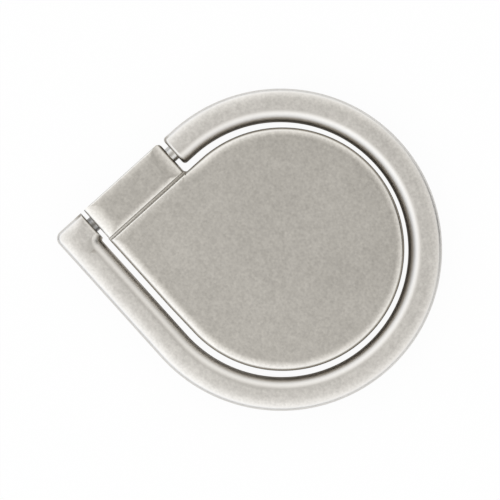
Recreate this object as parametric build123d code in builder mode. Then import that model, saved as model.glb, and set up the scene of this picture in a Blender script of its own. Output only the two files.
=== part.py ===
"""Phone ring holder: a drop-shaped plate on a stick-on swivel base, with a folding finger ring hinged to it.

Millimetres, +Z up. The origin is on the swivel axis, on the adhesive face. The ring lies closed round the
plate. The square corners of both point to -X -Y, and the hinge pin runs along Y on the -X side.
"""

import os

from build123d import *

# Plate, seen from above
plate_r = 15.18
block_length = 12.54
groove_width = 0.4
block_corner = 0.55
root_fillet = 0.5

# Plate, in section
plate_thick = 3.4
groove_depth = 0.6
plate_edge = 0.5
plate_lower_edge = 0.3
recess_depth = 1.0
recess_edge = 0.2
plate_rim = 0.9

# Finger ring
ring_gap = 0.75
band_width = 4.16
ring_thick = 3.4
ring_inner_round = 1.5
ring_outer_round = 0.9
ring_inner_corner = 0.3
ring_outer_corner = 1.1
arm_gap = 0.57
knuckle_gap = 0.55
arm_end_round = 0.7
knuckle_edge = 0.2
ring_along_pin = 0.2
ring_off_centre = 0.08

# Hinge pin
hinge_inset = 2.07
pin_r = 1.0
pin_clear = 0.03
pin_seat = 4.4
pin_end_room = 0.2
pin_chamfer = 0.2
bore_chamfer = 0.15

# Swivel: base disc, rivet, spring and adhesive pad
pad_thick = 0.8
pad_inset = 0.5
pad_edge = 0.15
base_web = 0.55
base_clear = 0.25
base_edge = 0.3
swivel_gap = 0.1
hub_r = 4.5
rivet_head_r = 3.6
rivet_head_thick = 0.5
rivet_head_edge = 0.15
rivet_shank_r = 2.0
rivet_spigot_r = 1.5
rivet_spigot_length = 1.5
rivet_end_room = 0.2
rivet_clear = 0.05
rivet_chamfer = 0.2
head_room = 0.15
head_side_room = 0.6
spring_thick = 0.2
spring_rise = 0.1
spring_clear = 0.12
spring_inset = 0.1

# Cutting shapes run this far past the metal
overcut = 1.0

# Places that follow from the sizes
ring_inner_r = plate_r + ring_gap
ring_outer_r = ring_inner_r + band_width
ring_centre = (-ring_off_centre, -ring_along_pin)
block_x = -ring_outer_r - ring_off_centre
hinge_x = block_x + hinge_inset
block_top = block_length - plate_r
block_width = -block_x - plate_r - groove_width
arm_end = block_top + arm_gap
knuckle_face = -plate_r - knuckle_gap
ring_low = -ring_outer_r - ring_along_pin

spring_height = spring_thick + spring_rise
counterbore_depth = head_room + rivet_head_thick + spring_height
base_thick = counterbore_depth + base_web
base_top = pad_thick + base_thick
recess_top = base_top + swivel_gap
plate_bottom = recess_top - recess_depth
plate_top = plate_bottom + plate_thick
groove_floor = plate_top - groove_depth
hinge_z = plate_bottom + plate_thick / 2
ring_bottom = hinge_z - ring_thick / 2
recess_r = plate_r - plate_rim
base_r = recess_r - base_clear
pad_r = base_r - pad_inset
counterbore_r = rivet_head_r + head_side_room
head_top = pad_thick + head_room + rivet_head_thick
web_bottom = pad_thick + counterbore_depth

os.makedirs("parts", exist_ok=True)


def teardrop(radius):
    """A disc with one square corner: the quarter towards -X -Y is filled out to its tangents."""
    Circle(radius)
    Rectangle(radius, radius, align=(Align.MAX, Align.MAX))


def tip(radius):
    """The square corner of a teardrop."""
    return (-radius, -radius)


def face_across(part, y):
    """The flat face of a part that lies across Y at this place."""
    return part.faces().filter_by(Axis.Y).sort_by(lambda face: abs(face.center().Y - y))[0]


# Hinge plate: one casting, with the block for the pin set off from the plate by a groove
with BuildPart() as plate:
    with BuildSketch(Plane.XY.offset(plate_bottom)) as outline:
        teardrop(plate_r)
        with Locations((block_x, -plate_r)):
            Rectangle(ring_outer_r, block_length, align=Align.MIN)
        fillet(outline.vertices().group_by(Axis.X)[0], block_corner)
        fillet(outline.vertices().sort_by_distance((-plate_r, block_top))[0], root_fillet)
    extrude(amount=plate_thick - groove_depth)
    fillet(plate.faces().sort_by(Axis.Z)[0].edges(), plate_lower_edge)

    with BuildSketch(Plane.XY.offset(groove_floor)) as plate_land:
        teardrop(plate_r)
    extrude(amount=groove_depth)
    with BuildSketch(Plane.XY.offset(groove_floor)) as block_land:
        with Locations((block_x, -plate_r)):
            Rectangle(block_width, block_length, align=Align.MIN)
        fillet(block_land.vertices().group_by(Axis.X)[0], block_corner)
    extrude(amount=groove_depth)
    fillet(plate.faces().filter_by(Axis.Z).group_by(Axis.Z)[-1].edges(), plate_edge)

    # Underside: a round recess for the base disc, with a hub left standing round the rivet
    with BuildSketch(Plane.XY.offset(plate_bottom)):
        Circle(recess_r)
    extrude(amount=recess_depth, mode=Mode.SUBTRACT)
    chamfer(plate.faces().sort_by(Axis.Z)[0].inner_wires()[0].edges(), recess_edge)
    with BuildSketch(Plane.XY.offset(base_top)):
        Circle(hub_r)
    extrude(amount=swivel_gap)
    with Locations(Plane((0, 0, base_top), z_dir=(0, 0, -1))):
        Hole(rivet_spigot_r, rivet_spigot_length + rivet_end_room)

    # Bore for the hinge pin, eased at both ends
    with Locations(Plane((hinge_x, -plate_r, hinge_z), z_dir=(0, -1, 0))):
        Hole(pin_r + pin_clear, block_length)
    for end in (-plate_r, block_top):
        chamfer(face_across(plate, end).inner_wires()[0].edges(), bore_chamfer)

# Finger ring: a teardrop band, well rounded on the finger side, cut open for the hinge block
with BuildPart() as ring:
    with BuildSketch(Plane((*ring_centre, ring_bottom))) as loop:
        teardrop(ring_outer_r)
        fillet(loop.vertices().sort_by_distance(tip(ring_outer_r))[0], ring_outer_corner)
    extrude(amount=ring_thick)
    with BuildSketch(Plane((*ring_centre, ring_bottom))) as finger_space:
        teardrop(ring_inner_r)
        fillet(finger_space.vertices().sort_by_distance(tip(ring_inner_r))[0], ring_inner_corner)
    extrude(amount=ring_thick, mode=Mode.SUBTRACT)
    flats = ring.faces().filter_by(Axis.Z)
    fillet([edge for face in flats for edge in face.inner_wires()[0].edges()], ring_inner_round)
    flats = ring.faces().filter_by(Axis.Z)
    fillet([edge for face in flats for edge in face.outer_wire().edges()], ring_outer_round)

    with BuildSketch(Plane.XY.offset(ring_bottom - overcut)):
        with Locations((block_x - overcut, knuckle_face)):
            Rectangle(band_width + 2 * overcut, arm_end - knuckle_face, align=Align.MIN)
    extrude(amount=ring_thick + 2 * overcut, mode=Mode.SUBTRACT)
    fillet(face_across(ring, arm_end).edges(), arm_end_round)
    fillet(face_across(ring, knuckle_face).edges(), knuckle_edge)

    # The pin is driven in through the knuckle and ends in a blind hole in the other arm
    with Locations(Plane((hinge_x, ring_low, hinge_z), z_dir=(0, -1, 0))):
        Hole(pin_r, knuckle_face - ring_low)
    with Locations(Plane((hinge_x, arm_end, hinge_z), z_dir=(0, -1, 0))):
        Hole(pin_r, pin_seat)

# Hinge pin
with BuildPart() as pin:
    with BuildSketch(Plane((hinge_x, ring_low + pin_end_room, hinge_z), z_dir=(0, 1, 0))):
        Circle(pin_r)
    extrude(amount=arm_end + pin_seat - ring_low - 2 * pin_end_room)
    chamfer(pin.edges().filter_by(GeomType.CIRCLE), pin_chamfer)

# Base disc: bored for the rivet, with a counterbore below for its head and spring
with BuildPart() as base:
    with BuildSketch(Plane.XY.offset(pad_thick)):
        Circle(base_r)
    extrude(amount=base_thick)
    chamfer(base.edges().sort_by(Axis.Z)[-1], recess_edge)
    fillet(base.edges().sort_by(Axis.Z)[0], base_edge)
    with Locations(Plane((0, 0, pad_thick), z_dir=(0, 0, -1))):
        CounterBoreHole(rivet_shank_r + rivet_clear, counterbore_r, counterbore_depth)

# Swivel rivet: head below, shank in the base disc, spigot pressed into the plate's hub
with BuildPart() as rivet:
    with BuildSketch(Plane.XY.offset(pad_thick + head_room)):
        Circle(rivet_head_r)
    extrude(amount=rivet_head_thick)
    fillet(rivet.edges().group_by(Axis.Z)[0], rivet_head_edge)
    with BuildSketch(Plane.XY.offset(head_top)):
        Circle(rivet_shank_r)
    extrude(amount=base_top - head_top)
    with BuildSketch(Plane.XY.offset(base_top)):
        Circle(rivet_spigot_r)
    extrude(amount=rivet_spigot_length)
    chamfer(rivet.edges().group_by(Axis.Z)[-1], rivet_chamfer)

# Disc spring: a flat cone between the rivet's head and the web of the base disc
with BuildPart() as spring:
    with BuildSketch(Plane.XZ):
        with BuildLine():
            Polyline(
                (rivet_shank_r + spring_clear, web_bottom - spring_thick),
                (rivet_head_r - spring_inset, head_top),
                (rivet_head_r - spring_inset, head_top + spring_thick),
                (rivet_shank_r + spring_clear, web_bottom),
                close=True,
            )
        make_face()
    revolve(axis=Axis.Z)

# Adhesive pad: a round of foam tape
with BuildPart() as pad:
    with BuildSketch():
        Circle(pad_r)
    extrude(amount=pad_thick)
    fillet(pad.edges().group_by(Axis.Z)[0], pad_edge)

plate.part.label = "hinge_plate"
ring.part.label = "finger_ring"
pin.part.label = "hinge_pin"
base.part.label = "base_disc"
rivet.part.label = "swivel_rivet"
spring.part.label = "disc_spring"
pad.part.label = "adhesive_pad"
for piece in (plate, ring, pin, base, rivet, spring, pad):
    export_step(piece.part, f"parts/{piece.part.label}.step")
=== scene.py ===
"""Looks of the phone ring holder.

Its two castings get soft crowned tops, in satin nickel. It lies in a light tent and is seen from above.
"""

from itertools import accumulate
from math import cos, hypot, radians, sin, tan

import bmesh
import bpy
from mathutils import Matrix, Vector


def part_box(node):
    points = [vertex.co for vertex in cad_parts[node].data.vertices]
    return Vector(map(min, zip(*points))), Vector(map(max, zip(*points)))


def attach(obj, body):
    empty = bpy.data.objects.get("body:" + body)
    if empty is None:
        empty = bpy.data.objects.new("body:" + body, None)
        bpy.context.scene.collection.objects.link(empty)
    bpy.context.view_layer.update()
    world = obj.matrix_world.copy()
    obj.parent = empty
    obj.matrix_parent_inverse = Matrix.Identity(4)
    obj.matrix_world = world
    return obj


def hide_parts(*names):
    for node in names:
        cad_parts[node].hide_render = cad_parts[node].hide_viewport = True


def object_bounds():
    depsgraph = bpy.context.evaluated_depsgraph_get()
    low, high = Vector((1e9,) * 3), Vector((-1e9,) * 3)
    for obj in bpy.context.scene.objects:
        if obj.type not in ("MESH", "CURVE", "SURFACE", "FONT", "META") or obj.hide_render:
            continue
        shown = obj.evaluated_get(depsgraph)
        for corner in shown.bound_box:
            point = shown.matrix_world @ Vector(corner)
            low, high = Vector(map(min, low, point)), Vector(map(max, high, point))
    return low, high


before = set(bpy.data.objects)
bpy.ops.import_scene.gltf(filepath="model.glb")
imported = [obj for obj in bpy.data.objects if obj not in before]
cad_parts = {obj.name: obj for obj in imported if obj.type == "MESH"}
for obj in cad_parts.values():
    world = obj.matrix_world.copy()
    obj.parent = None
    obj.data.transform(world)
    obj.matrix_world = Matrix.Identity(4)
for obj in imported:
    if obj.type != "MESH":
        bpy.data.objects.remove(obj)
cad_low, cad_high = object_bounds()

MM = 0.001

# Places read from the solids, in millimetres
plate_low, plate_high = (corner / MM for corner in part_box("hinge_plate"))
ring_low, ring_high = (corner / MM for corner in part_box("finger_ring"))
pin_low, pin_high = (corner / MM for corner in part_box("hinge_pin"))
PLATE_R = plate_high.x
RING_R = (ring_high.y - ring_low.y) / 2
RING_X = ring_high.x - RING_R
RING_Y = ring_high.y - RING_R
PIN_R = (pin_high.x - pin_low.x) / 2
PIN_X = pin_low.x + PIN_R
PIN_Z = pin_low.z + PIN_R

# Points of a casting: what counts as steep (by the upright part of the normal) for the painted shade, as sharp
# and as worn
STEEP_FROM = 0.94
STEEP_RANGE = 0.2
SHARP_FROM = radians(38)
WORN_BEND = radians(12)

# How much painted shade darkens steep walls, by the gap that they face, and where the gaps are in millimetres
PLATE_WALL_PAINTED_SHADE = 0.86
LOWER_SIDE_PAINTED_SHADE_FADE = 0.9
KNUCKLE_WALL_PAINTED_SHADE = 1.0
ARM_WALL_PAINTED_SHADE = 0.7
INNER_WALL_PAINTED_SHADE = 0.35
GAP_MARGIN = 0.6
HINGE_X = -15.0
HINGE_Y = -10.0
BLOCK_INNER_X = -14.5
BLOCK_END_MARGIN = 0.5

# Both castings, in millimetres. SPARE is cut off again, and cutters reach PAST what they cut
ARC_STEPS = 180
LONG_EDGE = 7.5
STRAIGHT_CUTS = 24
RIM_STEPS = 8
PRISM_STEPS = 16
UPRIGHT = radians(90)
LIP_TILT = radians(18)
SHOULDER_FALL = 1.2
LOWER_EDGE = 0.3
OFF_FLUSH = 0.02
SPARE = 2.0
PAST = 1
WELD = 0.001
ON_PLANE = 0.0001
MERGE_SHARE = 0.51
EDGE_SEGMENTS = 4
CORNER_SEGMENTS = 6
ROOT_STEPS = 8
ROD_SIDES = 96
RECESS_SIDES = 128
PLATE_THICK = plate_high.z - plate_low.z
CUT_TOP = plate_high.z + PAST

# Plate, with the recess for the base
PLATE_LOWER_SIDE = -15.28
PLATE_STRAIGHT_FROM = -4
PLATE_SEAM = -16.5
PLATE_ROUND = 0.6
PLATE_SHOULDER = 0.95
RECESS_R = 14.28
RECESS_DEPTH = 1.0

# Hinge block
BLOCK_TOP = -2.64
BLOCK_SEAM = -15.31
BLOCK_CORNER = 0.59
BLOCK_SEAM_ROUND = 0.45
BLOCK_SEAM_SHOULDER = 0.8
BLOCK_END_ROUND = 0.7
BLOCK_END_SHOULDER = 2.0
BLOCK_END_TRIM = 0.15
BLOCK_LOW = -PLATE_R - BLOCK_END_TRIM
BORE_CLEAR = 0.03
ROOT_ROUND = 0.5
ROOT_DROP = 1.6

# Groove between plate and block, with its bead and the low lips beside it
GROOVE = (-15.495, -15.1)
GROOVE_DEPTH = 0.6
GROOVE_FLOOR = plate_high.z - GROOVE_DEPTH
BEAD = (-15.37, -15.2)
BEAD_DEPTH = 0.03
BEAD_ROUND = 0.06
LOW_LIP = {"edge_round": 0.36, "shoulder": 1.1, "lip_tilt": radians(9), "steepest": radians(52)}

# Finger ring
BAND = 4.16
BAND_MIDDLE = RING_R - BAND / 2
BAND_CUTS = 7
ACROSS_LEAST = 1
ACROSS_MOST = 4.5
INNER_SEGMENTS = 12
OUTER_SEGMENTS = 9
RING_CORNER_SEGMENTS = 8
RIM_ANGLE = radians(60)
HINGE_SIDE_X = -12
INNER_ROUND = 1.65
OUTER_ROUND = 0.48
INNER_CORNER = 0.3
OUTER_CORNER = 1.1
BAND_CREST = 17.7
BAND_CROWN = 0.028
MITRE_ROUND = 1.5
FINGER_SPACE_SHAPE = (1.002, 0.9951, 1)
FINGER_SPACE_SHIFT = 0.025
ARM_END = -2.0
ARM_ROUND = 0.45
KNUCKLE_FACE = -15.73
KNUCKLE_ROUND = 0.4
KNUCKLE_SHOULDER = 0.5
KNUCKLE_DROP = 0.06
KNUCKLE_RAMP = 2.5
EASING_PAST = 1.3

# Metals: painted warm shade on steep walls that face gaps, small nicks, turned rings, and painted shade that
# darkens the pin towards one end
PAINTED_SHADE_DIM = 0.5
PAINTED_SHADE_WARMTH = (1.05, 1, 0.92)
NICK_SPACING = 4.5 * MM
NICK_SIZE = 0.03
WAVE_PERIOD = 0.3
TURNED_PITCH = 0.35 * MM
PIN_TONE = 1.31
PIN_PAINTED_SHADE_FADE = 19.6 * MM

# View: straight down, with the part turned clockwise in the picture
PICTURE_TURN = radians(48)
PICTURE_FIELD = 0.06223
PICTURE_CENTRE = (-0.00264, -0.00309)
CAMERA_HEIGHT = 0.45

# Light tent: patches by turn, tilt and spread in degrees, each with its strength
TENT_LIGHT = 3.06
LEAST_LIGHT = 0.02
OPENING = (41, 7.4, 27.4)
OPENING_DIM = 1.98
SIDE_PATCHES = ((-1.5, (13, 70, 11.1)), (-0.6, (180, 74, 14)), (0.12, (225, 45, 20)))
SLOPE = 0.114
SLOPE_TURN = 100
HORIZON_DIM = 2.65
HORIZON_FALL = 0.8
COOL_SLOPE = 0.6
COOL_TURN = 200
PALE_SIDE = (0.935, 0.95, 0.965, 1)
COOL_SIDE = (0.912, 0.95, 1.008, 1)
WARM_OPENING = (1.068, 1.032, 0.965, 1)

# Floor: how much of it rays see as white, with painted light on one side and painted shade in the gap and away
# from that side, seen by glossy rays
FLOOR_SIZE = 2.0
FLOOR_WHITE = 0.95
FLOOR_GREY = (0.85, 0.85, 0.85, 1)
PAINTED_LIGHT_TURN = 215
PAINTED_LIGHT_FADE = 0.04
PAINTED_GAP_SHADE_REACH = 0.0175
PAINTED_GAP_SHADE_EDGE = 2 * MM
PAINTED_GAP_SHADE_GLOSS = 0.15


def bevel(bm, edges, size, segments):
    bmesh.ops.bevel(bm, geom=edges, offset=size, offset_type="OFFSET", affect="EDGES",
                    segments=segments, profile=0.5, material=-1)


def round_corner(bm, vert, size, segments):
    bmesh.ops.bevel(bm, geom=[vert], offset=size, offset_type="OFFSET", affect="VERTICES",
                    segments=segments, profile=0.5, material=-1)


def extrude(bm, faces, way):
    """Extrudes faces by a vector and gives the faces at the far end."""
    made = bmesh.ops.extrude_face_region(bm, geom=faces)["geom"]
    bmesh.ops.translate(bm, vec=way, verts=[item for item in made if isinstance(item, bmesh.types.BMVert)])
    return [item for item in made if isinstance(item, bmesh.types.BMFace)]


def teardrop(bm, radius, z, hinge_side=()):
    """A flat round with one square corner, towards -X -Y, or with other points there. Gives that corner."""
    start = bm.verts.new((-radius, 0, z))
    arc = bmesh.ops.spin(bm, geom=[start], cent=(0, 0, z), axis=(0, 0, 1),
                         angle=-radians(270), steps=ARC_STEPS)
    points = [bm.verts.new((x, y, z)) for x, y in hinge_side or [(-radius, -radius)]]
    chain = [arc["geom_last"][0], *points, start]
    for one, other in zip(chain, chain[1:]):
        bm.edges.new((one, other))
    loop = [edge for edge in bm.edges if edge.is_wire]
    bmesh.ops.contextual_create(bm, geom=loop)
    return points[0]


def highest(bm):
    return max(bm.faces, key=lambda face: face.calc_center_median().z)


def even_out(bm):
    """Takes the faces off flat outlines and divides long edges, so that values stored at points stay local."""
    bmesh.ops.delete(bm, geom=bm.faces[:], context="FACES_ONLY")
    long_edges = [edge for edge in bm.edges if edge.calc_length() > LONG_EDGE]
    bmesh.ops.subdivide_edges(bm, edges=long_edges, cuts=STRAIGHT_CUTS)


def arc_steps(size, lip_tilt, steepest=UPRIGHT):
    """Steps in and up along the arc of a rounded edge, from a steep tilt to a last one."""
    tilts = [steepest + (lip_tilt - steepest) * step / RIM_STEPS for step in range(RIM_STEPS + 1)]
    return [(size * (sin(steep) - sin(flat)), size * (cos(flat) - cos(steep)))
            for steep, flat in zip(tilts, tilts[1:])]


def add_pairs(one, other):
    return one[0] + other[0], one[1] + other[1]


def rim_steps(edge_round, shoulder, lip_tilt=LIP_TILT, steepest=UPRIGHT):
    """Steps in and up along a rounded edge and then a shoulder that levels out."""
    width = shoulder / RIM_STEPS
    falls = [lip_tilt * (1 - (step + 0.5) / RIM_STEPS) ** SHOULDER_FALL for step in range(RIM_STEPS)]
    return arc_steps(edge_round, lip_tilt, steepest) + [(width, width * tan(tilt)) for tilt in falls]


def cushion(bm, height, edge_round, shoulder, **rim):
    """Extrudes a flat face to a height, rounds its upper rim and crowns its top with a shoulder."""
    steps = rim_steps(edge_round, shoulder, **rim)
    extrude(bm, bm.faces[:], (0, 0, height - sum(rise for _, rise in steps)))
    bmesh.ops.recalc_face_normals(bm, faces=bm.faces)
    shortest = MERGE_SHARE * max(width for width, _ in steps)
    for width, rise in steps:
        bmesh.ops.inset_region(bm, faces=[highest(bm)], thickness=width, depth=rise, use_even_offset=True)
        bmesh.ops.remove_doubles(bm, verts=highest(bm).verts, dist=shortest)
    lowest = min(bm.faces, key=lambda face: face.calc_center_median().z)
    bevel(bm, lowest.edges[:], LOWER_EDGE, EDGE_SEGMENTS)


def rough(bm, name):
    """A bmesh as an object that only serves to cut or join another."""
    bmesh.ops.recalc_face_normals(bm, faces=bm.faces)
    mesh = bpy.data.meshes.new(name)
    bm.to_mesh(mesh)
    bm.free()
    piece = bpy.data.objects.new(name, mesh)
    bpy.context.scene.collection.objects.link(piece)
    return piece


def joined(base, *others):
    """The bmesh of an object after others, each given with its operation, are joined to it or cut from it."""
    for other, operation in others:
        change = base.modifiers.new(other.name, "BOOLEAN")
        change.object = other
        change.operation = operation
        change.solver = "EXACT"
    bpy.context.view_layer.update()
    bm = bmesh.new()
    bm.from_object(base, bpy.context.evaluated_depsgraph_get())
    for item in (base, *(other for other, _ in others)):
        bpy.data.objects.remove(item)
    return bm


def rod(radius, x, z, low, high):
    """A round bar along Y."""
    bm = bmesh.new()
    made = bmesh.ops.create_circle(bm, cap_ends=True, segments=ROD_SIDES, radius=radius)
    bmesh.ops.rotate(bm, matrix=Matrix.Rotation(radians(-90), 3, "X"), verts=made["verts"])
    bmesh.ops.translate(bm, vec=(x, low, z), verts=made["verts"])
    extrude(bm, bm.faces[:], (0, high - low, 0))
    return rough(bm, "rod")


def finish_piece(bm, name, body, node, material, painted_gap_shade):
    """Makes an object of a bmesh in millimetres, in the place of a solid."""
    bmesh.ops.remove_doubles(bm, verts=bm.verts, dist=WELD)
    bmesh.ops.recalc_face_normals(bm, faces=bm.faces)
    for face in bm.faces:
        face.smooth = True
    for edge in bm.edges:
        edge.smooth = edge.calc_face_angle(0) < SHARP_FROM
    # The edge share marks worn edges, polished smoother and less grainy, and where painted light on the top
    # gives way to the edge's tone
    wear_and_painted_light_mask = bm.verts.layers.float.new("edge")
    for vert in bm.verts:
        bend = max(edge.calc_face_angle_signed(0) for edge in vert.link_edges)
        vert[wear_and_painted_light_mask] = min(max(bend / WORN_BEND, 0), 1)
    bm.normal_update()
    # Painted shade: each steep point gets a 'recess' share, by the gap it faces, that darkens and warms its
    # colour
    painted_wall_shade = bm.verts.layers.float.new("recess")
    for vert in bm.verts:
        steep = (STEEP_FROM - abs(vert.normal.z)) / STEEP_RANGE
        vert[painted_wall_shade] = min(max(steep, 0), 1) * painted_gap_shade(vert)
    bmesh.ops.scale(bm, vec=(MM, MM, MM), verts=bm.verts)
    mesh = bpy.data.meshes.new(name)
    bm.to_mesh(mesh)
    bm.free()
    mesh.materials.append(material)
    piece = bpy.data.objects.new(name, mesh)
    bpy.context.scene.collection.objects.link(piece)
    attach(piece, body)
    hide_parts(node)


def bar(low, high, top_round=0):
    """A plain bar between two corners, to cut or join with. Its upper long edges may be rounded."""
    bm = bmesh.new()
    bmesh.ops.create_cube(bm, size=1.0)
    bmesh.ops.scale(bm, vec=[end - start for start, end in zip(low, high)], verts=bm.verts)
    bmesh.ops.translate(bm, vec=[(start + end) / 2 for start, end in zip(low, high)], verts=bm.verts)
    if top_round:
        longest_end = high[0] - low[0] + OFF_FLUSH
        sides = [edge for edge in highest(bm).edges if edge.calc_length() > longest_end]
        bevel(bm, sides, top_round, EDGE_SEGMENTS)
    return rough(bm, "bar")


def prism(points, way):
    """A bar with these corners at one end, extruded in steps, to cut with."""
    bm = bmesh.new()
    end = [bm.faces.new([bm.verts.new(point) for point in points])]
    for step in range(PRISM_STEPS):
        far = extrude(bm, end, [length / PRISM_STEPS for length in way])
        if step:
            bmesh.ops.delete(bm, geom=end, context="FACES_ONLY")
        end = far
    return rough(bm, "prism")


def slab(low, high, edge_round, shoulder):
    """A cushion with a rectangular outline, as high as the plate, to shape another with."""
    bm = bmesh.new()
    outline = (low, (high[0], low[1]), high, (low[0], high[1]))
    bm.faces.new([bm.verts.new((x, y, plate_low.z - PAST)) for x, y in outline])
    even_out(bm)
    bmesh.ops.contextual_create(bm, geom=bm.edges[:])
    cushion(bm, PLATE_THICK + PAST, edge_round, shoulder)
    return rough(bm, "slab")


def drop_plate():
    """The plate, with a low lip where the groove parts it from the block."""
    plate = bmesh.new()
    upper = BLOCK_TOP - OFF_FLUSH
    teardrop(plate, PLATE_R, plate_low.z, [
        (PLATE_STRAIGHT_FROM, PLATE_LOWER_SIDE), (PLATE_SEAM, PLATE_LOWER_SIDE),
        (PLATE_SEAM, upper), (-PLATE_R, upper)])
    even_out(plate)
    bmesh.ops.contextual_create(plate, geom=plate.edges[:])
    cushion(plate, PLATE_THICK, PLATE_ROUND, PLATE_SHOULDER)

    lip = rim_steps(**LOW_LIP)
    lip_start = (GROOVE[1], plate_high.z + OFF_FLUSH / 4 - sum(rise for _, rise in lip))
    outline = [(PLATE_SEAM - PAST, GROOVE_FLOOR), (GROOVE[1], GROOVE_FLOOR)]
    outline += accumulate(lip, add_pairs, initial=lip_start)
    outline += [(outline[-1][0], CUT_TOP), (PLATE_SEAM - PAST, CUT_TOP)]
    length = BLOCK_TOP + SPARE / 2 - BLOCK_LOW + PAST
    seam_cut = prism([(x, BLOCK_LOW - PAST, z) for x, z in outline], (0, length, 0))
    return joined(rough(plate, "plate"), (seam_cut, "DIFFERENCE"))


def hinge_block():
    """The block that holds the pin: a low lip outside, softer edges at the groove and at both ends."""
    block = bmesh.new()
    inner, low_end = BLOCK_SEAM + SPARE, BLOCK_LOW - SPARE
    outline = ((plate_low.x, low_end), (inner, low_end), (inner, BLOCK_TOP), (plate_low.x, BLOCK_TOP))
    corners = [block.verts.new((x, y, plate_low.z + OFF_FLUSH)) for x, y in outline]
    block.faces.new(corners)
    round_corner(block, corners[3], BLOCK_CORNER, CORNER_SEGMENTS)
    even_out(block)
    bmesh.ops.contextual_create(block, geom=block.edges[:])
    cushion(block, PLATE_THICK - OFF_FLUSH, **LOW_LIP)

    outer = plate_low.x - SPARE
    seam_side = slab((outer, BLOCK_LOW - 2 * SPARE), (BLOCK_SEAM, BLOCK_TOP + SPARE),
                     BLOCK_SEAM_ROUND, BLOCK_SEAM_SHOULDER)
    ends = slab((outer, BLOCK_LOW), (BLOCK_SEAM + 2 * SPARE, BLOCK_TOP - OFF_FLUSH / 10),
                BLOCK_END_ROUND, BLOCK_END_SHOULDER)
    below = bar((plate_low.x - PAST, BLOCK_LOW - PAST, 0), (0, -PLATE_R, CUT_TOP))
    beside = bar((GROOVE[0], BLOCK_LOW - PAST, GROOVE_FLOOR), (0, 0, CUT_TOP))
    return joined(rough(block, "block"), (seam_side, "INTERSECT"), (ends, "INTERSECT"),
                  (below, "DIFFERENCE"), (beside, "DIFFERENCE"))


def block_root():
    """The fillet where the block's end meets the round of the plate."""
    root = bmesh.new()
    start = root.verts.new((-PLATE_R, BLOCK_TOP + ROOT_ROUND, plate_low.z + LOWER_EDGE))
    centre = (-PLATE_R - ROOT_ROUND, BLOCK_TOP + ROOT_ROUND, start.co.z)
    arc = bmesh.ops.spin(root, geom=[start], cent=centre, axis=(0, 0, 1),
                         angle=radians(-90), steps=ROOT_STEPS)
    inside = root.verts.new((-PLATE_R + ROOT_ROUND, BLOCK_TOP - ROOT_ROUND, start.co.z))
    for end in (start, arc["geom_last"][0]):
        root.edges.new((end, inside))
    bmesh.ops.contextual_create(root, geom=root.edges[:])
    extrude(root, root.faces[:], (0, 0, PLATE_THICK - LOWER_EDGE - ROOT_DROP))
    return root


def plate_casting(material):
    """The drop-shaped plate and its hinge block, one casting with a beaded groove between them."""
    plate, block, root = drop_plate(), hinge_block(), block_root()
    bead = bar((BEAD[0], -PLATE_R + 2 * OFF_FLUSH, plate_low.z + PLATE_THICK / 2),
               (BEAD[1], BLOCK_TOP - 3 * OFF_FLUSH, plate_high.z - BEAD_DEPTH), BEAD_ROUND)
    corner = bar((PLATE_SEAM - PAST, BLOCK_LOW - PAST, 0), (GROOVE[0], -PLATE_R, CUT_TOP))

    recess = bmesh.new()
    bmesh.ops.create_circle(recess, cap_ends=True, segments=RECESS_SIDES, radius=RECESS_R)
    extrude(recess, recess.faces[:], (0, 0, RECESS_DEPTH + PAST))
    bmesh.ops.translate(recess, vec=(0, 0, plate_low.z - PAST), verts=recess.verts)

    bore = rod(PIN_R + BORE_CLEAR, PIN_X, PIN_Z, BLOCK_LOW - PAST, BLOCK_TOP + PAST)
    bm = joined(rough(plate, "plate"), (rough(block, "block"), "UNION"), (rough(root, "root"), "UNION"),
                (bead, "UNION"), (corner, "DIFFERENCE"),
                (rough(recess, "recess"), "DIFFERENCE"), (bore, "DIFFERENCE"))

    # Painted shade on the plate's steep walls: none on the block's outer side, less on walls facing -Y
    def painted_gap_shade(vert):
        if vert.co.x < BLOCK_INNER_X and vert.co.y < BLOCK_TOP - BLOCK_END_MARGIN:
            return 0
        return max(PLATE_WALL_PAINTED_SHADE - LOWER_SIDE_PAINTED_SHADE_FADE * max(-vert.normal.y, 0) ** 3, 0)

    finish_piece(bm, "plate_casting", "plate", "hinge_plate", material, painted_gap_shade)


def band_reach(vert):
    """How far a point is from the middle of the ring, measured square to its band."""
    x, y = vert.co.x - RING_X, vert.co.y - RING_Y
    if x > 0 or y > 0:
        return hypot(x, y)
    mitre = max(MITRE_ROUND - abs(x - y), 0)
    return max(-x, -y) + mitre ** 2 / (4 * MITRE_ROUND)


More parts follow.
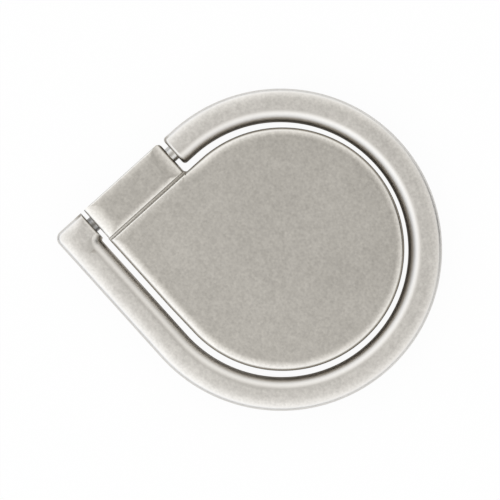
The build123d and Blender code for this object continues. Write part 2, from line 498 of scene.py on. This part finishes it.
def crowned_band():
    """The whole band of the ring, well rounded on the finger side."""
    bm = bmesh.new()
    for radius, size in ((RING_R, OUTER_CORNER), (RING_R - BAND, INNER_CORNER)):
        corner = teardrop(bm, radius, ring_low.z)
        round_corner(bm, corner, size, RING_CORNER_SEGMENTS)
    even_out(bm)
    bmesh.ops.bridge_loops(bm, edges=bm.edges[:])
    bmesh.ops.translate(bm, vec=(RING_X, RING_Y, 0), verts=bm.verts)
    finger_space = [vert for vert in bm.verts if band_reach(vert) < BAND_MIDDLE]
    to_centre = Matrix.Translation((-RING_X, -RING_Y, 0))
    bmesh.ops.scale(bm, vec=FINGER_SPACE_SHAPE, space=to_centre, verts=finger_space)
    bmesh.ops.translate(bm, vec=(0, FINGER_SPACE_SHIFT, 0), verts=finger_space)
    extrude(bm, bm.faces[:], (0, 0, ring_high.z - ring_low.z))
    bmesh.ops.recalc_face_normals(bm, faces=bm.faces)

    rims = [edge for edge in bm.edges if edge.calc_face_angle(0) > RIM_ANGLE]
    inner = [edge for edge in rims if band_reach(edge.verts[0]) < BAND_MIDDLE]
    outer = [edge for edge in rims if band_reach(edge.verts[0]) > BAND_MIDDLE]
    bevel(bm, inner, INNER_ROUND, INNER_SEGMENTS)
    bevel(bm, outer, OUTER_ROUND, OUTER_SEGMENTS)

    across = [edge for edge in bm.edges
              if abs(band_reach(edge.verts[0]) - band_reach(edge.verts[1])) > ACROSS_LEAST
              and edge.calc_length() < ACROSS_MOST]
    bmesh.ops.subdivide_edges(bm, edges=across, cuts=BAND_CUTS, use_grid_fill=True)
    half = (ring_low.z + ring_high.z) / 2
    for vert in bm.verts:
        drop = BAND_CROWN * abs(band_reach(vert) - BAND_CREST) ** 3
        vert.co.z -= drop * (vert.co.z - half) / (ring_high.z - half)
    return bm


def open_for_block(bm):
    """Cuts the band open between knuckle and arm, and rounds the end of the arm."""
    for y in (ARM_END + ARM_ROUND, KNUCKLE_FACE):
        hinge_side = [face for face in bm.faces if face.calc_center_median().x < HINGE_SIDE_X]
        parts = {part for face in hinge_side for part in (face, *face.edges, *face.verts)}
        bmesh.ops.bisect_plane(bm, geom=list(parts), dist=ON_PLANE, plane_co=(0, y, 0), plane_no=(0, 1, 0))
    middles = [(face, face.calc_center_median()) for face in bm.faces]
    gone = [face for face, middle in middles
            if middle.x < HINGE_SIDE_X and KNUCKLE_FACE < middle.y < ARM_END + ARM_ROUND]
    bmesh.ops.delete(bm, geom=gone, context="FACES")
    caps = bmesh.ops.holes_fill(bm, edges=[edge for edge in bm.edges if edge.is_boundary], sides=0)["faces"]
    bmesh.ops.recalc_face_normals(bm, faces=bm.faces)
    arm = max(caps, key=lambda cap: cap.calc_center_median().y)
    for width, rise in arc_steps(ARM_ROUND, 0):
        bmesh.ops.inset_region(bm, faces=[arm], thickness=width, depth=rise, use_even_offset=True)


def knuckle_easing():
    """What is cut off the knuckle's upper edge: a round, a shoulder and a long low ramp."""
    steps = rim_steps(KNUCKLE_ROUND, KNUCKLE_SHOULDER)
    y, z = KNUCKLE_FACE, ring_high.z - KNUCKLE_DROP - sum(rise for _, rise in steps)
    outline = [(KNUCKLE_FACE + PAST, ring_high.z + PAST), (KNUCKLE_FACE + PAST, z), (y, z)]
    for width, rise in [*steps, (KNUCKLE_RAMP, KNUCKLE_DROP + OFF_FLUSH)]:
        y, z = y - width, z + rise
        outline.append((y, z))
    outline.append((y, ring_high.z + PAST))
    reach = RING_X - RING_R + BAND - ring_low.x + EASING_PAST
    return prism([(ring_low.x - PAST, y, z) for y, z in outline], (reach, 0, 0))


def finger_loop(material):
    """The finger ring: a crowned teardrop band, cut open for the hinge block."""
    bm = crowned_band()
    open_for_block(bm)
    bore = rod(PIN_R, PIN_X, PIN_Z, ring_low.y - PAST, KNUCKLE_FACE + PAST)
    bm = joined(rough(bm, "band"), (knuckle_easing(), "DIFFERENCE"), (bore, "DIFFERENCE"))

    # Painted shade on the ring's steep walls: most at the knuckle, less at the arm and on the inner wall
    def painted_gap_shade(vert):
        if vert.co.x < HINGE_X and KNUCKLE_FACE - GAP_MARGIN < vert.co.y < HINGE_Y:
            return KNUCKLE_WALL_PAINTED_SHADE
        if vert.co.x < HINGE_X and HINGE_Y < vert.co.y < ARM_END + GAP_MARGIN:
            return ARM_WALL_PAINTED_SHADE
        return INNER_WALL_PAINTED_SHADE if band_reach(vert) < BAND_MIDDLE else 0

    finish_piece(bm, "finger_loop", "ring", "finger_ring", material, painted_gap_shade)


class Value:
    """A socket of a node tree. Arithmetic on it adds Math nodes, and node() adds any other node."""

    def __init__(self, tree, socket=None):
        self.tree = tree
        self.socket = socket

    def node(self, kind, out=0, settings=None, **inputs):
        """Adds a node with its settings, then its inputs, named with _ for a space, and gives one output."""
        made = self.tree.nodes.new("ShaderNode" + kind)
        for name, value in (settings or {}).items():
            setattr(made, name, value)
        for name, value in inputs.items():
            socket = made.inputs[int(name[1:]) if name[1:].isdigit() else name.replace("_", " ")]
            if isinstance(value, Value):
                self.tree.links.new(value.socket, socket)
            else:
                socket.default_value = value
        return Value(self.tree, made.outputs[out] if made.outputs else None)

    def math(self, operation, a, b=0.0):
        return self.node("Math", settings={"operation": operation}, i0=a, i1=b)

    def along(self, axis):
        return self.node("VectorMath", "Value", {"operation": "DOT_PRODUCT"}, i0=self, i1=axis)

    def tint(self, colour):
        return self.node("VectorMath", "Vector", {"operation": "SCALE"}, i0=colour, Scale=self)

    def __add__(self, other):
        return self.math("ADD", self, other)

    def __radd__(self, other):
        return self.math("ADD", other, self)

    def __sub__(self, other):
        return self.math("SUBTRACT", self, other)

    def __rsub__(self, other):
        return self.math("SUBTRACT", other, self)

    def __mul__(self, other):
        return self.math("MULTIPLY", self, other)

    def __rmul__(self, other):
        return self.math("MULTIPLY", other, self)

    def __truediv__(self, other):
        return self.math("DIVIDE", self, other)

    def exp(self):
        return self.math("EXPONENT", self)

    def at_least(self, least):
        return self.math("MAXIMUM", self, least)

    def at_most(self, most):
        return self.math("MINIMUM", self, most)


def direction(turn, tilt):
    """A direction by turn in the picture, anticlockwise from the right, and tilt from upright, in degrees."""
    around = radians(turn) + PICTURE_TURN
    return (sin(radians(tilt)) * cos(around), sin(radians(tilt)) * sin(around), cos(radians(tilt)))


def studio_tent():
    """A white light tent with a dim warm opening overhead, patches on its sides and a dim horizon."""
    world = bpy.data.worlds.new("tent")
    world.use_nodes = True
    world.node_tree.nodes.clear()
    tree = Value(world.node_tree)
    look = tree.node("TexCoord", "Generated")

    def patch(turn, tilt, spread):
        return ((look.along(direction(turn, tilt)) - 1) / radians(spread) ** 2).exp()

    opening = patch(*OPENING)
    side = SLOPE * look.along(direction(SLOPE_TURN, 90))
    for strength, place in SIDE_PATCHES:
        side = side + strength * patch(*place)
    horizon = (look.along((0, 0, -1)) / HORIZON_FALL).exp()
    light = (TENT_LIGHT - OPENING_DIM * opening + side - HORIZON_DIM * horizon).at_least(LEAST_LIGHT)
    cool = 0.5 + COOL_SLOPE * look.along(direction(COOL_TURN, 90))
    mix = {"data_type": "RGBA"}
    sides = tree.node("Mix", 2, mix, i0=cool, i6=PALE_SIDE, i7=COOL_SIDE)
    colour = tree.node("Mix", 2, mix, i0=opening, i6=sides, i7=WARM_OPENING)
    shade = tree.node("Background", Color=colour, Strength=light)
    tree.node("OutputWorld", Surface=shade)
    bpy.context.scene.world = world


def new_material(name):
    material = bpy.data.materials.new(name)
    material.use_nodes = True
    material.node_tree.nodes.clear()
    return material, Value(material.node_tree)


def noise(tree, place, size, detail):
    """Noise of about this size in millimetres, from -0.5 to 0.5."""
    return tree.node("TexNoise", "Fac", Vector=place, Scale=1 / (size * MM), Detail=detail) - 0.5


def satin_nickel(name, colour, top_painted_light, edge_painted_light, roughness):
    """Bead-blasted nickel plate: fine grain, mottling, clouds, nicks, polished edges, painted light that sets
    the flat top against the edges, and painted warm shade on steep walls that face gaps.
    """
    material, tree = new_material(name)
    place = tree.node("TexCoord", "Object")
    edge = tree.node("Attribute", "Fac", {"attribute_name": "edge"})
    # recess: the painted shade share of steep walls that face gaps
    recess = tree.node("Attribute", "Fac", {"attribute_name": "recess"})
    cloud = noise(tree, place, size=6.0, detail=2.0)
    mottle = noise(tree, place, size=1.2, detail=2.0)
    speck = noise(tree, place, size=0.33, detail=2.0)
    grain = noise(tree, place, size=0.12, detail=1.0)
    matt = 1 - 0.75 * (3 * edge - 0.9).at_least(0).at_most(1)
    nearest = tree.node("TexVoronoi", "Distance", Vector=place, Scale=1 / NICK_SPACING)
    nick = (1 - nearest / NICK_SIZE).at_least(0)
    # Painted light: the flat top and the worn edges each get their own tone
    painted_light_level = top_painted_light + (edge_painted_light - top_painted_light) * edge
    marks = 1 + 0.1 * cloud + matt * (0.12 * mottle + 0.42 * speck + 0.15 * nick)
    # The recess share is painted shade: it darkens the tone here and warms the hue below
    tone = painted_light_level * marks * (1 - PAINTED_SHADE_DIM * recess)
    warm = (*(warmth * part for warmth, part in zip(PAINTED_SHADE_WARMTH, colour)), 1)
    hue_with_painted_shade = tree.node("Mix", 2, {"data_type": "RGBA"}, i0=recess, i6=(*colour, 1), i7=warm)
    shine = tree.node(
        "BsdfPrincipled",
        Base_Color=tone.tint(hue_with_painted_shade),
        Metallic=1.0,
        Roughness=roughness + 0.03 * cloud + 0.08 * speck - 0.03 * edge - 0.1 * recess,
        Normal=tree.node("Bump", Strength=0.2, Distance=0.01 * MM, Height=grain),
    )
    tree.node("OutputMaterial", Surface=shine)
    return material


def turned_nickel(name):
    """Nickel plate over a turned face: fine rings round the swivel axis."""
    material, tree = new_material(name)
    place = tree.node("TexCoord", "Object")
    rings = tree.node("TexWave", "Fac", {"wave_type": "RINGS", "rings_direction": "Z"}, Vector=place,
                      Scale=WAVE_PERIOD / TURNED_PITCH, Distortion=0.6, Detail=2.0) - 0.5
    speck = noise(tree, place, size=0.32, detail=2.0)
    tone = 1 + 0.12 * rings + 0.3 * speck
    shine = tree.node(
        "BsdfPrincipled",
        Base_Color=tone.tint((0.66, 0.638, 0.6)),
        Metallic=1.0,
        Roughness=0.34 + 0.06 * rings + 0.08 * speck,
        Normal=tree.node("Bump", Strength=0.3, Distance=0.01 * MM, Height=rings),
    )
    tree.node("OutputMaterial", Surface=shine)
    return material


def ground_steel(name):
    """Ground steel: fine lines round the pin, a few stains, and painted shade that darkens it towards -Y."""
    material, tree = new_material(name)
    place = tree.node("TexCoord", "Object")
    along_pin = tree.node("Mapping", Vector=place, Scale=(0.05, 1, 0.05))
    lines = noise(tree, along_pin, size=0.12, detail=3.0)
    stain = noise(tree, place, size=0.7, detail=2.0)
    # Painted shade: the steel gets darker towards -Y
    along = place.along((0, 1, 0)) / PIN_PAINTED_SHADE_FADE
    tone = PIN_TONE + 0.5 * lines + 0.5 * stain + along
    shine = tree.node(
        "BsdfPrincipled",
        Base_Color=tone.tint((0.52, 0.51, 0.49)),
        Metallic=1.0,
        Roughness=0.27 + 0.15 * stain,
        Normal=tree.node("Bump", Strength=0.3, Distance=0.01 * MM, Height=lines),
    )
    tree.node("OutputMaterial", Surface=shine)
    return material


def foam_tape(name):
    """Dark acrylic foam with open pores."""
    material, tree = new_material(name)
    place = tree.node("TexCoord", "Object")
    cells = tree.node("TexVoronoi", "Distance", Vector=place, Scale=1 / (0.45 * MM))
    cloud = noise(tree, place, size=2.5, detail=3.0)
    shine = tree.node(
        "BsdfPrincipled",
        Base_Color=(0.7 + 0.5 * cells + 0.5 * cloud).tint((0.045, 0.045, 0.048)),
        Roughness=0.75 + 0.2 * cloud,
        Normal=tree.node("Bump", Strength=0.5, Distance=0.06 * MM, Height=cells),
    )
    tree.node("OutputMaterial", Surface=shine)
    return material


def floor():
    """A white floor, which camera and transmission rays see as nearly plain white, and glossy rays too, except
    for painted shade in the gap under the parts and on the side away from the light.
    """
    ground = bpy.data.objects.new("floor", bpy.data.meshes.new("floor"))
    bpy.context.scene.collection.objects.link(ground)
    bm = bmesh.new()
    bmesh.ops.create_grid(bm, x_segments=1, y_segments=1, size=FLOOR_SIZE)
    bm.to_mesh(ground.data)
    bm.free()
    material, tree = new_material("floor")
    place = tree.node("TexCoord", "Object")
    # Painted light on one side of the floor and painted shade in the gap under the parts, seen only by glossy
    # rays
    painted_lit_side = (0.5 + place.along(direction(PAINTED_LIGHT_TURN, 90)) / PAINTED_LIGHT_FADE).at_least(0).at_most(1)
    away = tree.node("VectorMath", "Value", {"operation": "LENGTH"}, i0=place)
    beyond_painted_gap_shade = ((away - PAINTED_GAP_SHADE_REACH) / PAINTED_GAP_SHADE_EDGE).at_least(0).at_most(1)
    glossy = tree.node("LightPath", "Is Glossy Ray") * (PAINTED_GAP_SHADE_GLOSS + (1 - PAINTED_GAP_SHADE_GLOSS) * painted_lit_side * beyond_painted_gap_shade)
    seen = tree.node("LightPath", "Is Camera Ray") + glossy + tree.node("LightPath", "Is Transmission Ray")
    matte = tree.node("BsdfDiffuse", Color=FLOOR_GREY)
    white = tree.node("Emission", Color=(1, 1, 1, 1), Strength=1.0)
    tree.node("OutputMaterial", Surface=tree.node("MixShader", Fac=FLOOR_WHITE * seen, i1=matte, i2=white))
    ground.data.materials.append(material)


def camera():
    data = bpy.data.cameras.new("camera")
    eye = bpy.data.objects.new("camera", data)
    bpy.context.scene.collection.objects.link(eye)
    data.lens = data.sensor_width * CAMERA_HEIGHT / PICTURE_FIELD
    data.clip_end = 10
    eye.location = (*PICTURE_CENTRE, cad_high.z + CAMERA_HEIGHT)
    eye.rotation_euler = (0, 0, PICTURE_TURN)
    bpy.context.scene.camera = eye


bpy.context.scene.view_settings.view_transform = "Standard"
plate_satin = satin_nickel("plate_satin", (0.69, 0.667, 0.628), top_painted_light=1.0, edge_painted_light=1.0,
                           roughness=0.31)
# Painted light: the ring's flat top is painted 7 % lighter than the plate's, back to the plate's tone at its
# edges
ring_satin = satin_nickel("ring_satin", (0.69, 0.669, 0.638), top_painted_light=1.07, edge_painted_light=1.0,
                          roughness=0.385)
steel = ground_steel("steel")
finishes = {
    "hinge_plate": plate_satin,
    "finger_ring": ring_satin,
    "base_disc": turned_nickel("turned_satin"),
    "hinge_pin": steel,
    "swivel_rivet": steel,
    "disc_spring": steel,
    "adhesive_pad": foam_tape("foam_tape"),
}
for name, finish in finishes.items():
    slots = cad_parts[name].data.materials
    slots.clear()
    slots.append(finish)
plate_casting(plate_satin)
finger_loop(ring_satin)
studio_tent()
floor()
camera()
